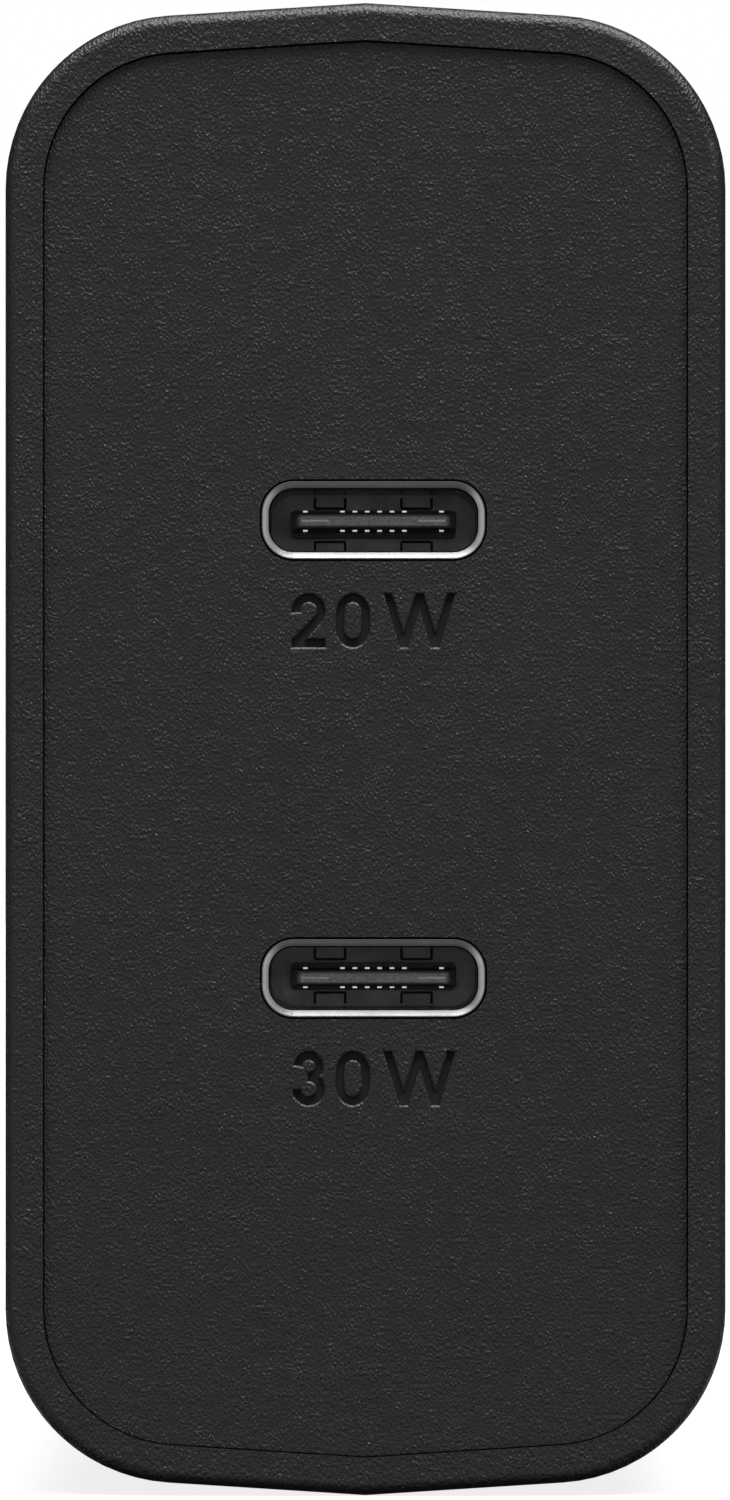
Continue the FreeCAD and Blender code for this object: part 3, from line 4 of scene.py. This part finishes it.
import bpy
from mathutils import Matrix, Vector


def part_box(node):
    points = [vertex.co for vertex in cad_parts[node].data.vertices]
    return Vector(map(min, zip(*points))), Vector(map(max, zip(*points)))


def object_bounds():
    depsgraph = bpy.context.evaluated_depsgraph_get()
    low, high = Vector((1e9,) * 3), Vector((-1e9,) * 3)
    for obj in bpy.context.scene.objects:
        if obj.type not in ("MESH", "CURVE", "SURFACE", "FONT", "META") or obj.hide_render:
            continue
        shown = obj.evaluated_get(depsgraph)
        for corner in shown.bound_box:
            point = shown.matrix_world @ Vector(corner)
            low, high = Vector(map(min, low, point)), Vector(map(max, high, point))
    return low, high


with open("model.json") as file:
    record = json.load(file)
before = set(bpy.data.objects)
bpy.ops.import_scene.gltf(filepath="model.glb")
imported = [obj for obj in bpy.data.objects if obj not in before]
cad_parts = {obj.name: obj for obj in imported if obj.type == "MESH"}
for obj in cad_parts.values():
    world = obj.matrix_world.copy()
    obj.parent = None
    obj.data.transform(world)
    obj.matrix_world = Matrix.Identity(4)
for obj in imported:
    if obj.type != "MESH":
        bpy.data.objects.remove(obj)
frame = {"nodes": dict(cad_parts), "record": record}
start_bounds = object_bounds()

MM = 0.001

# Where things lie on the charger, whose front looks along -Y
LOWEST = start_bounds[0].z
FRONT_Y = start_bounds[0].y
PANEL_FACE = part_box("front_panel")[0].y
SHELL_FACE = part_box("usb_shell_upper")[0].y
TONGUE_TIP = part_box("usb_tongue_upper")[0].y
TONGUE_HEIGHT = (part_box("usb_tongue_upper")[0].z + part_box("usb_tongue_upper")[1].z) / 2

# Materials
LEATHER_DEPTH = 0.075 * MM                  # height of the leathery texture
LETTER_FLOOR = (0.08 * MM, 0.20 * MM)       # a recessed mark turns rougher and darker over these depths below the panel's face; the darkening is painted shade
NOSE_GREY = (0.05 * MM, 0.15 * MM)         # the lighter grey patch ends over these depths behind the tongue's tip
NOSE_HALF = (0.15 * MM, 0.21 * MM)          # and over these distances from its middle height
LIP_EDGE = (0.002 * MM, 0.006 * MM)         # a shell's darker flat front edge ends over these depths
LIP_SHADE_DEPTHS = (0.03 * MM, 0.12 * MM)         # and deeper in, painted shade darkens its colour over these
LIP_ROLL = 0.1 * MM                         # depth of the rolled lip
LIP_EASE = 0.216                            # the lip rises out of its funnel by this share of the depth

# Floor and surround
WHITE = (1.0, 1.0, 1.0, 1.0)
FLOOR_SIZE = 5.4
FLOOR_GAP = 0.02 * MM                       # keeps the floor clear of the charger's lowest faces
FLOOR_GLOW = 0.84
SURROUND_RADIUS = 2.5

# Sky: each pair says over which part of a direction's coordinate the light changes
OVERHEAD_SPAN = (-0.3, 1.0)                 # Z
OVERHEAD_RADIANCE = (0.03, 0.15)
GLOW_DIRECTION = (0.03, -1.0, 0.115)
GLOW_CONE = (0.95, 0.992)                   # cosines of the cone's outer and inner angle
GLOW_RADIANCE = 0.72
FOREGROUND_DIRECTION = (0.0, -0.81, -0.58)
FOREGROUND_CONE = (0.88, 0.97)
FOREGROUND_RADIANCE = 0.07
SIDE_RADIANCE = 0.46
SIDE_RISE = (0.33, 0.55)                    # |X| over which the side bands come up
SIDE_FALL = (0.66, 0.85)                    # and over which they lose SIDE_LOSS of their light
SIDE_LOSS = 0.65
SIDE_AHEAD = (0.0, -0.2)                    # Y
SIDE_BELOW = (-0.10, -0.22)                 # Z
SIDE_BELOW_GAIN = 1.6
SIDE_BOTTOM = (-0.65, -0.5)                 # Z

# Lights
KEY_DIRECTION = (0.15, -0.27, 0.95)
KEY_ANGLE = math.radians(64)
KEY_STRENGTH = 5.8
AIM = (0.0, -0.03, 0.0)                     # the middle of the charger

# Camera
CAMERA_DISTANCE = 0.370                     # from the front rim
CAMERA_X = -0.02 * MM
FRAME_MIDDLE = -0.04 * MM                   # height that the picture is centred on
CAMERA_DROP = 3.62 * MM                     # camera below that height
FRAME_HEIGHT = 60.335 * MM                  # seen at the front rim
SENSOR = 36.0


# ---- Materials -------------------------------------------------------------------------------------
def set_range(node, low, high, out_low, out_high):
    """Makes a Map Range node map low..high to out_low..out_high."""
    node.inputs["From Min"].default_value = low
    node.inputs["From Max"].default_value = high
    node.inputs["To Min"].default_value = out_low
    node.inputs["To Max"].default_value = out_high


class Surface:
    """A material under construction: adds nodes to a Principled shader and links them."""

    def __init__(self, name):
        self.material = bpy.data.materials.new(name)
        self.material.use_nodes = True
        self.nodes = self.material.node_tree.nodes
        self.links = self.material.node_tree.links
        self.shader = self.nodes["Principled BSDF"]
        self.place = self.nodes.new("ShaderNodeTexCoord").outputs["Object"]

    def set(self, **values):
        """Sets plain values on the shader; underscores stand for spaces."""
        for key, value in values.items():
            self.shader.inputs[key.replace("_", " ")].default_value = value

    def link(self, source, target):
        self.links.new(source, target)
        return source

    def stretched(self, x=1.0, y=1.0, z=1.0):
        """The object's coordinates in millimetres, times a factor along each axis."""
        mapping = self.nodes.new("ShaderNodeMapping")
        mapping.inputs["Scale"].default_value = (x / MM, y / MM, z / MM)
        self.link(self.place, mapping.inputs["Vector"])
        return mapping.outputs["Vector"]

    def noise(self, vector, scale, detail=3.0, roughness=0.55):
        node = self.nodes.new("ShaderNodeTexNoise")
        node.inputs["Scale"].default_value = scale
        node.inputs["Detail"].default_value = detail
        node.inputs["Roughness"].default_value = roughness
        self.link(vector, node.inputs["Vector"])
        return node.outputs["Fac"]

    def axis(self, name):
        """One of the object's coordinates, in metres."""
        split = self.nodes.new("ShaderNodeSeparateXYZ")
        self.link(self.place, split.inputs["Vector"])
        return split.outputs[name]

    def ramp(self, value, low, high, out_low=0.0, out_high=1.0):
        """Maps low..high to out_low..out_high, and clamps."""
        node = self.nodes.new("ShaderNodeMapRange")
        set_range(node, low, high, out_low, out_high)
        self.link(value, node.inputs["Value"])
        return node.outputs["Result"]

    def math(self, operation, first, second=0.0):
        node = self.nodes.new("ShaderNodeMath")
        node.operation = operation
        for socket, value in zip(node.inputs, (first, second)):
            if isinstance(value, (int, float)):
                socket.default_value = value
            else:
                self.link(value, socket)
        return node.outputs["Value"]

    def mix(self, amount, first, second):
        """Colour between first and second; each is a colour or a socket."""
        node = self.nodes.new("ShaderNodeMix")
        node.data_type = "RGBA"
        self.link(amount, node.inputs["Factor"])
        for key, value in (("A", first), ("B", second)):
            socket = next(s for s in node.inputs if s.name == key and s.type == "RGBA")
            if isinstance(value, (tuple, list)):
                socket.default_value = (*value[:3], 1.0)
            else:
                self.link(value, socket)
        return next(s for s in node.outputs if s.type == "RGBA")

    def bump(self, height, strength, distance):
        node = self.nodes.new("ShaderNodeBump")
        node.inputs["Strength"].default_value = strength
        node.inputs["Distance"].default_value = distance
        self.link(height, node.inputs["Height"])
        self.link(node.outputs["Normal"], self.shader.inputs["Normal"])

    def colour(self, source):
        self.link(source, self.shader.inputs["Base Color"])

    def roughness(self, source):
        self.link(source, self.shader.inputs["Roughness"])


def leathery_plastic(name, face=None):
    """Charcoal plastic moulded with a fine leathery texture, which is left out below its face, if given;
    there it also turns rougher and its colour is darkened as painted shade.
    """
    s = Surface(name)
    s.set(Specular_IOR_Level=0.5)
    crests = s.noise(s.stretched(1.45, 1.15, 1.02), 7.0, 1.5, 0.5)
    patches = s.ramp(s.noise(s.stretched(), 1.3, 2.0), 0.38, 0.62, 0.6, 1.0)
    broad = s.noise(s.stretched(), 0.25, 2.0)
    colour = s.mix(s.ramp(crests, 0.3, 0.7), (0.0080, 0.0081, 0.0082), (0.0125, 0.0126, 0.0128))
    rough = s.math("ADD", s.ramp(crests, 0.35, 0.7, 0.36, 0.26), s.ramp(broad, 0.3, 0.7, 0.0, 0.05))
    height = s.math("MULTIPLY", s.math("POWER", crests, 1.6), patches)
    if face is not None:
        # below the face: painted shade darkens the colour of recesses such as the letter floors, which also
        # turn rougher
        sunk_shade_and_dull = s.ramp(s.axis("Y"), face + LETTER_FLOOR[0], face + LETTER_FLOOR[1])
        colour = s.mix(sunk_shade_and_dull, colour, (0.005, 0.005, 0.005))
        rough = s.math("ADD", rough, s.math("MULTIPLY", sunk_shade_and_dull, 0.3))
        height = s.math("MULTIPLY", height, s.math("SUBTRACT", 1.0, sunk_shade_and_dull))
    s.colour(colour)
    s.roughness(rough)
    s.bump(height, 1.0, LEATHER_DEPTH)
    return s.material


def moulded_plastic(name, colour, rough=0.5, texture=0.02, specular=0.4):
    """Plain plastic with a fine spark-eroded texture."""
    s = Surface(name)
    s.set(Specular_IOR_Level=specular)
    fine = s.noise(s.stretched(), 7.0, 4.0, 0.6)
    broad = s.noise(s.stretched(), 0.35, 2.0)
    darker = tuple(c * 0.8 for c in colour)
    lighter = tuple(min(1.0, c * 1.2 + 0.002) for c in colour)
    s.colour(s.mix(s.ramp(broad, 0.3, 0.7), darker, lighter))
    s.roughness(s.ramp(fine, 0.3, 0.7, rough - 0.07, rough + 0.07))
    s.bump(fine, 0.35, texture * MM)
    return s.material


def grey_nosed_tongue(name):
    """Black glass-filled plastic, with a lighter mottled grey patch on the middle of the tongue's nose."""
    s = Surface(name)
    s.set(Specular_IOR_Level=0.55)
    height = s.math("ABSOLUTE", s.axis("Z"))
    off_middle = s.math("ABSOLUTE", s.math("SUBTRACT", height, TONGUE_HEIGHT))
    at_tip = s.ramp(s.axis("Y"), TONGUE_TIP + NOSE_GREY[0], TONGUE_TIP + NOSE_GREY[1], 1.0, 0.0)
    nose = s.math("MULTIPLY", at_tip, s.ramp(off_middle, *NOSE_HALF, 1.0, 0.12))
    mottle = s.noise(s.stretched(1.0, 1.0, 2.5), 9.0, 4.0, 0.7)
    grey = s.mix(s.ramp(mottle, 0.35, 0.65), (0.035, 0.035, 0.035), (0.15, 0.15, 0.15))
    s.colour(s.mix(nose, (0.012, 0.012, 0.012), grey))
    s.roughness(s.ramp(mottle, 0.3, 0.7, 0.35, 0.5))
    s.bump(mottle, 0.3, 0.01 * MM)
    return s.material


def metal(name, colour, rough=0.28, stretch=(1.0, 1.0, 1.0), scale=6.0, depth=0.004, tarnish=0.85):
    """Bare metal with a rolled or brushed grain; stretch is the grain's frequency along each axis."""
    s = Surface(name)
    s.set(Metallic=1.0)
    grain = s.noise(s.stretched(*stretch), scale, 5.0, 0.65)
    cloud = s.noise(s.stretched(), 0.6, 3.0)
    dull = tuple(c * tarnish for c in colour)
    s.colour(s.mix(s.ramp(cloud, 0.35, 0.7), colour, dull))
    s.roughness(s.math("ADD", s.ramp(grain, 0.3, 0.7, rough - 0.06, rough + 0.06),
                       s.ramp(cloud, 0.4, 0.7, 0.0, 0.06)))
    s.bump(grain, 0.3, depth * MM)
    return s.material


def mouth_steel(name):
    """Drawn steel round a port's mouth: bright on the rolled lip, darker on its flat front edge, and
    darkened deeper inside the tube as painted shade.
    """
    s = Surface(name)
    s.set(Metallic=1.0)
    y = s.axis("Y")
    grain = s.noise(s.stretched(0.5, 2.0, 0.5), 2.0, 5.0, 0.65)
    cloud = s.noise(s.stretched(), 0.6, 3.0)
    # the colour is darker on the flat front edge and, as painted shade, darker deeper inside the tube
    edge = s.ramp(y, SHELL_FACE + LIP_EDGE[0], SHELL_FACE + LIP_EDGE[1], 0.25, 1.0)
    lip = s.ramp(y, SHELL_FACE + LIP_SHADE_DEPTHS[0], SHELL_FACE + LIP_SHADE_DEPTHS[1], 1.0, 0.35)
    bright_steel_share = s.math("MULTIPLY", edge, lip)
    steel = s.mix(s.ramp(cloud, 0.35, 0.7), (0.76, 0.76, 0.77), (0.66, 0.66, 0.67))
    s.colour(s.mix(bright_steel_share, (0.02, 0.02, 0.02), steel))
    s.roughness(s.ramp(grain, 0.3, 0.7, 0.20, 0.28))
    rolled = s.ramp(y, SHELL_FACE, SHELL_FACE + LIP_ROLL, 0.0, LIP_EASE * LIP_ROLL / MM)
    s.bump(s.math("ADD", rolled, s.math("MULTIPLY", grain, 0.0003)), 1.0, MM)
    return s.material


def circuit_board(name):
    """Green solder mask over copper tracks and a woven glass base."""
    s = Surface(name)
    s.set(Specular_IOR_Level=0.5)
    tracks = s.nodes.new("ShaderNodeTexBrick")
    tracks.inputs["Scale"].default_value = 0.5
    tracks.inputs["Mortar Size"].default_value = 0.05
    s.link(s.stretched(), tracks.inputs["Vector"])
    weave = s.noise(s.stretched(1.0, 1.0, 3.0), 3.0, 2.0)
    mask = s.mix(tracks.outputs["Fac"], (0.012, 0.12, 0.05), (0.02, 0.20, 0.08))
    s.colour(s.mix(s.ramp(weave, 0.3, 0.7, 0.0, 0.35), mask, (0.01, 0.08, 0.035)))
    s.roughness(s.ramp(weave, 0.3, 0.7, 0.25, 0.4))
    s.bump(tracks.outputs["Fac"], 0.3, 0.03 * MM)
    return s.material


def ferrite(name):
    """Pressed and sintered ferrite: dark grey, matt, finely pitted."""
    s = Surface(name)
    s.set(Specular_IOR_Level=0.5)
    pits = s.noise(s.stretched(), 5.0, 5.0, 0.7)
    s.colour(s.mix(s.ramp(pits, 0.35, 0.65), (0.035, 0.036, 0.04), (0.085, 0.085, 0.09)))
    s.roughness(s.ramp(pits, 0.3, 0.7, 0.55, 0.75))
    s.bump(pits, 0.5, 0.03 * MM)
    return s.material


def enamelled_wire(name):
    """Closely wound enamelled copper wire."""
    s = Surface(name)
    s.set(Metallic=0.9)
    turns = s.nodes.new("ShaderNodeTexWave")
    turns.inputs["Scale"].default_value = 0.8
    s.link(s.stretched(), turns.inputs["Vector"])
    s.colour(s.mix(turns.outputs["Fac"], (0.30, 0.10, 0.03), (0.72, 0.32, 0.13)))
    s.roughness(s.ramp(s.noise(s.stretched(), 2.0), 0.3, 0.7, 0.25, 0.4))
    s.bump(turns.outputs["Fac"], 0.6, 0.08 * MM)
    return s.material


# The record's material slots
MATERIALS = {
    "casing_plastic": leathery_plastic,
    "panel_plastic": lambda n: leathery_plastic(n, PANEL_FACE),
    "barrel_plastic": lambda n: moulded_plastic(n, (0.022, 0.022, 0.024), 0.38),
    "black_plastic": lambda n: moulded_plastic(n, (0.016, 0.016, 0.017), 0.45),
    "tongue_plastic": grey_nosed_tongue,
    "blade_metal": lambda n: metal(n, (0.80, 0.76, 0.68), 0.24, (6.0, 6.0, 0.5), 3.0),
    "dark_steel": lambda n: metal(n, (0.46, 0.46, 0.47), 0.55),
    "spring_steel": lambda n: metal(n, (0.62, 0.62, 0.62), 0.30, (0.5, 4.0, 4.0)),
    "phosphor_bronze": lambda n: metal(n, (0.78, 0.48, 0.27), 0.30, (4.0, 4.0, 0.5)),
    "shell_steel": mouth_steel,
    "contact_gold": lambda n: metal(n, (1.0, 0.95, 0.84), 0.18, (6.0, 1.0, 6.0), 5.0, 0.0006, 0.95),
    "screw_steel": lambda n: metal(n, (0.58, 0.58, 0.60), 0.32),
    "circuit_board": circuit_board,
    "pin_metal": lambda n: metal(n, (0.80, 0.80, 0.78), 0.30),
    "ferrite": ferrite,
    "copper": enamelled_wire,
    "bobbin_plastic": lambda n: moulded_plastic(n, (0.03, 0.03, 0.03), 0.5),
    "tape": lambda n: moulded_plastic(n, (0.80, 0.58, 0.06), 0.3, 0.005),
    "can_sleeve": lambda n: moulded_plastic(n, (0.02, 0.03, 0.07), 0.3, 0.005),
    "polymer_can": lambda n: metal(n, (0.80, 0.80, 0.81), 0.3, (0.6, 4.0, 4.0)),
    "film_box": lambda n: moulded_plastic(n, (0.72, 0.56, 0.07), 0.4),
    "disc_blue": lambda n: moulded_plastic(n, (0.03, 0.14, 0.45), 0.3, 0.01),
    "disc_green": lambda n: moulded_plastic(n, (0.06, 0.20, 0.10), 0.35, 0.01),
    "fuse_body": lambda n: moulded_plastic(n, (0.62, 0.60, 0.54), 0.5, 0.01),
    "spreader": lambda n: metal(n, (0.78, 0.78, 0.79), 0.3, (4.0, 0.5, 4.0)),
    "gap_pad": lambda n: moulded_plastic(n, (0.45, 0.48, 0.52), 0.7),
    "clear_sheet": lambda n: moulded_plastic(n, (0.72, 0.72, 0.66), 0.2, 0.003),
    "wire_black": lambda n: moulded_plastic(n, (0.015, 0.015, 0.015), 0.4, 0.01),
    "wire_white": lambda n: moulded_plastic(n, (0.72, 0.72, 0.70), 0.4, 0.01),
}


def dress_nodes():
    """Gives every CAD node the material of its slot."""
    made = {}
    for part in frame["record"]["subparts"]:
        slot = part["material_slot"]
        if slot not in made:
            made[slot] = MATERIALS[slot]("look_" + slot)
        node = frame["nodes"][part["node"]]
        node.data.materials.clear()
        node.data.materials.append(made[slot])


dress_nodes()


# ---- Floor, light and camera -----------------------------------------------------------------------
def plain_stage():
    """A pale floor, and a white surround that the camera sees and that lights nothing."""
    bpy.ops.mesh.primitive_plane_add(size=FLOOR_SIZE, location=(0, 0, LOWEST - FLOOR_GAP))
    floor = bpy.context.object
    floor.name = "floor"
    s = Surface("pale_floor")
    s.set(Specular_IOR_Level=0.0, Roughness=0.9, Emission_Color=WHITE, Emission_Strength=FLOOR_GLOW)
    s.colour(s.mix(s.ramp(s.noise(s.stretched(), 0.004), 0.3, 0.7), (0.21, 0.21, 0.21), (0.22, 0.22, 0.22)))
    floor.data.materials.append(s.material)
    floor.visible_glossy = False
    floor.visible_diffuse = False

    bpy.ops.mesh.primitive_uv_sphere_add(segments=48, ring_count=24, radius=SURROUND_RADIUS)
    surround = bpy.context.object
    surround.name = "surround"
    glow = bpy.data.materials.new("white_surround")
    glow.use_nodes = True
    nodes = glow.node_tree.nodes
    nodes.clear()
    emission = nodes.new("ShaderNodeEmission")
    emission.inputs["Color"].default_value = WHITE
    output = nodes.new("ShaderNodeOutputMaterial")
    glow.node_tree.links.new(emission.outputs["Emission"], output.inputs["Surface"])
    surround.data.materials.append(glow)
    for ray in ("visible_diffuse", "visible_glossy", "visible_transmission", "visible_shadow",
                "visible_volume_scatter"):
        setattr(surround, ray, False)


def soft_sky():
    """Dim light all round, stronger above, with a glow in front, a weak one below it, and side bands."""
    world = bpy.data.worlds.new("soft_sky")
    bpy.context.scene.world = world
    world.use_nodes = True
    nodes, links = world.node_tree.nodes, world.node_tree.links
    direction = nodes.new("ShaderNodeTexCoord").outputs["Generated"]
    split = nodes.new("ShaderNodeSeparateXYZ")
    links.new(direction, split.inputs["Vector"])

    def ramp(source, low, high, dim, bright):
        node = nodes.new("ShaderNodeMapRange")
        set_range(node, low, high, dim, bright)
        links.new(source, node.inputs["Value"])
        return node.outputs["Result"]

    def math_node(operation, first, second=None):
        node = nodes.new("ShaderNodeMath")
        node.operation = operation
        links.new(first, node.inputs[0])
        if second is not None:
            links.new(second, node.inputs[1])
        return node.outputs["Value"]

    def spot(aim, cone, radiance):
        """Light from a cone round a direction."""
        toward = nodes.new("ShaderNodeVectorMath")
        toward.operation = "DOT_PRODUCT"
        links.new(direction, toward.inputs[0])
        toward.inputs[1].default_value = Vector(aim).normalized()
        return ramp(toward.outputs["Value"], *cone, 0.0, radiance)

    overhead = ramp(split.outputs["Z"], *OVERHEAD_SPAN, *OVERHEAD_RADIANCE)
    glow = spot(GLOW_DIRECTION, GLOW_CONE, GLOW_RADIANCE)
    foreground = spot(FOREGROUND_DIRECTION, FOREGROUND_CONE, FOREGROUND_RADIANCE)
    across = math_node("ABSOLUTE", split.outputs["X"])
    sideways = math_node("SUBTRACT", ramp(across, *SIDE_RISE, 0.0, SIDE_RADIANCE),
                         ramp(across, *SIDE_FALL, 0.0, SIDE_LOSS * SIDE_RADIANCE))
    ahead = ramp(split.outputs["Y"], *SIDE_AHEAD, 0.0, 1.0)
    below = ramp(split.outputs["Z"], *SIDE_BELOW, 0.0, SIDE_BELOW_GAIN)
    not_under = ramp(split.outputs["Z"], *SIDE_BOTTOM, 0.0, 1.0)
    band = math_node("MULTIPLY", math_node("MAXIMUM", ahead, below), not_under)
    sides = math_node("MULTIPLY", sideways, band)
    total = math_node("ADD", math_node("ADD", overhead, glow), math_node("ADD", foreground, sides))
    links.new(total, nodes["Background"].inputs["Strength"])
    nodes["Background"].inputs["Color"].default_value = WHITE


def softbox(name, place, width, height, radiance):
    """An area light that looks at the charger, of a given brightness whatever its size."""
    data = bpy.data.lights.new(name, "AREA")
    data.shape = "RECTANGLE"
    data.size = width
    data.size_y = height
    data.energy = radiance * width * height * math.pi
    light = bpy.data.objects.new(name, data)
    light.location = place
    light.rotation_euler = (Vector(AIM) - Vector(place)).to_track_quat("-Z", "Y").to_euler()
    bpy.context.scene.collection.objects.link(light)
    light.visible_camera = False


def lights():
    """A broad soft sun, almost overhead, and softboxes in front and behind."""
    data = bpy.data.lights.new("key_sun", "SUN")
    data.angle = KEY_ANGLE
    data.energy = KEY_STRENGTH
    key = bpy.data.objects.new("key_sun", data)
    key.rotation_euler = Vector(KEY_DIRECTION).to_track_quat("Z", "Y").to_euler()
    bpy.context.scene.collection.objects.link(key)
    softbox("fill_front", place=(-0.3, -1.1, 0.9), width=0.7, height=0.5, radiance=1.6)
    softbox("fill_behind", place=(-0.15, 1.4, 0.3), width=0.5, height=0.5, radiance=1.2)


def camera():
    """Looks level along +Y from a little below the middle, and is shifted up to frame the front."""
    data = bpy.data.cameras.new("camera")
    data.sensor_width = SENSOR
    data.lens = SENSOR * CAMERA_DISTANCE / FRAME_HEIGHT
    data.shift_y = CAMERA_DROP / FRAME_HEIGHT
    data.clip_start = 0.01
    data.clip_end = 20.0
    eye = bpy.data.objects.new("camera", data)
    eye.location = (CAMERA_X, FRONT_Y - CAMERA_DISTANCE, FRAME_MIDDLE - CAMERA_DROP)
    eye.rotation_euler = (math.pi / 2, 0, 0)
    bpy.context.scene.collection.objects.link(eye)
    bpy.context.scene.camera = eye


plain_stage()
soft_sky()
lights()
camera()
bpy.context.scene.view_settings.view_transform = "Standard"
